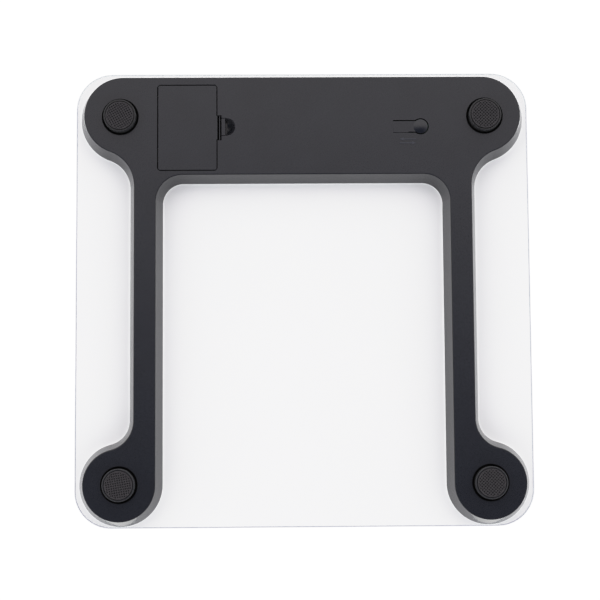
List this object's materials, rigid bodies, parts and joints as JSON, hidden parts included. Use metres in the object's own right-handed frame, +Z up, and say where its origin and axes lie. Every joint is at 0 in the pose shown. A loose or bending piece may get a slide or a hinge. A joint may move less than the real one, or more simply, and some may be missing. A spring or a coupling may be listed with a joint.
{
  "type": "digital bathroom scale",
  "caption": "Square glass platform on a U-shaped plastic housing with load-cell feet, a display window, a hinged battery door and a flexing unit button.",
  "frame": {"origin": "centre of the plan, on the floor that the four rubber pads stand on", "axes": "+Z up, +Y towards the display and battery end, +X to the right of a person who stands on the scale and reads the display"},
  "size_m": [0.3, 0.3, 0.0262],
  "materials": {
    "clear_glass": "polished, ground edge",
    "white_film": "satin white print",
    "foam_tape": "foam",
    "charcoal_plastic": "fine satin grain",
    "foot_plastic": "fine satin grain",
    "pad_rubber": "knurled",
    "plated_steel": "nickel plated",
    "white_plastic": "satin",
    "gauge_coating": "silicone",
    "screw_steel": "zinc plated",
    "board_green": "solder mask",
    "black_epoxy": "epoxy",
    "component_body": "moulded",
    "switch_plastic": "satin",
    "lcd_glass": "polished",
    "light_guide": "frosted",
    "zebra_rubber": "silicone",
    "black_foam": "foam",
    "battery_can": "printed sleeve without text",
    "contact_nickel": "nickel plated",
    "lead_insulation": "silicone insulation",
    "wire_sleeve": "sleeve"
  },
  "bodies": {
    "platform": {"glass_platform": "clear_glass", "safety_film": "white_film", "bonding_tape": "foam_tape", "base_housing": "charcoal_plastic", "load_cell_rear_right": "plated_steel", "load_cell_rear_left": "plated_steel", "load_cell_front_right": "plated_steel", "load_cell_front_left": "plated_steel", "cell_retainer_rear_right": "white_plastic", "cell_retainer_rear_left": "white_plastic", "cell_retainer_front_right": "white_plastic", "cell_retainer_front_left": "white_plastic", "strain_gauges": "gauge_coating", "retainer_screws": "screw_steel", "circuit_board": "board_green", "board_screws": "screw_steel", "control_chip": "black_epoxy", "board_components": "component_body", "unit_switch": "switch_plastic", "lcd_panel": "lcd_glass", "lcd_holder": "white_plastic", "backlight_panel": "light_guide", "zebra_strip": "zebra_rubber", "display_gasket": "black_foam", "battery_1": "battery_can", "battery_2": "battery_can", "battery_3": "battery_can", "contact_positive": "contact_nickel", "contact_negative": "contact_nickel", "contact_link_front": "contact_nickel", "contact_link_rear": "contact_nickel", "battery_springs": "contact_nickel", "battery_leads": "lead_insulation", "cell_wires_rear_right": "wire_sleeve", "cell_wires_rear_left": "wire_sleeve", "cell_wires_front_right": "wire_sleeve", "cell_wires_front_left": "wire_sleeve"},
    "battery_door": {"battery_door": "charcoal_plastic"},
    "door_latch": {"door_latch": "charcoal_plastic"},
    "unit_button": {"unit_button": "charcoal_plastic"},
    "switch_plunger": {"switch_plunger": "white_plastic"},
    "foot_rear_right": {"foot_cap_rear_right": "foot_plastic", "foot_pad_rear_right": "pad_rubber"},
    "foot_rear_left": {"foot_cap_rear_left": "foot_plastic", "foot_pad_rear_left": "pad_rubber"},
    "foot_front_right": {"foot_cap_front_right": "foot_plastic", "foot_pad_front_right": "pad_rubber"},
    "foot_front_left": {"foot_cap_front_left": "foot_plastic", "foot_pad_front_left": "pad_rubber"}
  },
  "joints": [
    {"name": "door_hinge", "type": "hinge", "parent": "platform", "child": "battery_door", "pos_m": [0.09483, 0.1107, 0.0052], "axis": [0, -1, 0], "range_deg": [0, 70]},
    {"name": "latch_slide", "type": "slide", "parent": "battery_door", "child": "door_latch", "axis": [1, 0, 0], "range_m": [0, 0.0008], "stiffness_N_per_m": 1500, "springref_m": -0.0001},
    {"name": "unit_press", "type": "hinge", "parent": "platform", "child": "unit_button", "pos_m": [-0.0596, 0.111, 0.0061], "axis": [0, 1, 0], "range_deg": [0, 1.65], "stiffness_Nm_per_rad": 0.02, "springref_deg": -0.29},
    {"name": "plunger_travel", "type": "slide", "parent": "platform", "child": "switch_plunger", "axis": [0, 0, 1], "range_m": [0, 0.0005]},
    {"name": "foot_travel_rear_right", "type": "slide", "parent": "platform", "child": "foot_rear_right", "axis": [0, 0, 1], "range_m": [0, 0.0004], "stiffness_N_per_m": 600, "springref_m": -0.0075},
    {"name": "foot_travel_rear_left", "type": "slide", "parent": "platform", "child": "foot_rear_left", "axis": [0, 0, 1], "range_m": [0, 0.0004], "stiffness_N_per_m": 600, "springref_m": -0.0075},
    {"name": "foot_travel_front_right", "type": "slide", "parent": "platform", "child": "foot_front_right", "axis": [0, 0, 1], "range_m": [0, 0.0004], "stiffness_N_per_m": 600, "springref_m": -0.0075},
    {"name": "foot_travel_front_left", "type": "slide", "parent": "platform", "child": "foot_front_left", "axis": [0, 0, 1], "range_m": [0, 0.0004], "stiffness_N_per_m": 600, "springref_m": -0.0075}
  ],
  "couplings": [
    {"joint": "unit_press", "follows": "plunger_travel", "rad_per_m": 56.5}
  ]
}
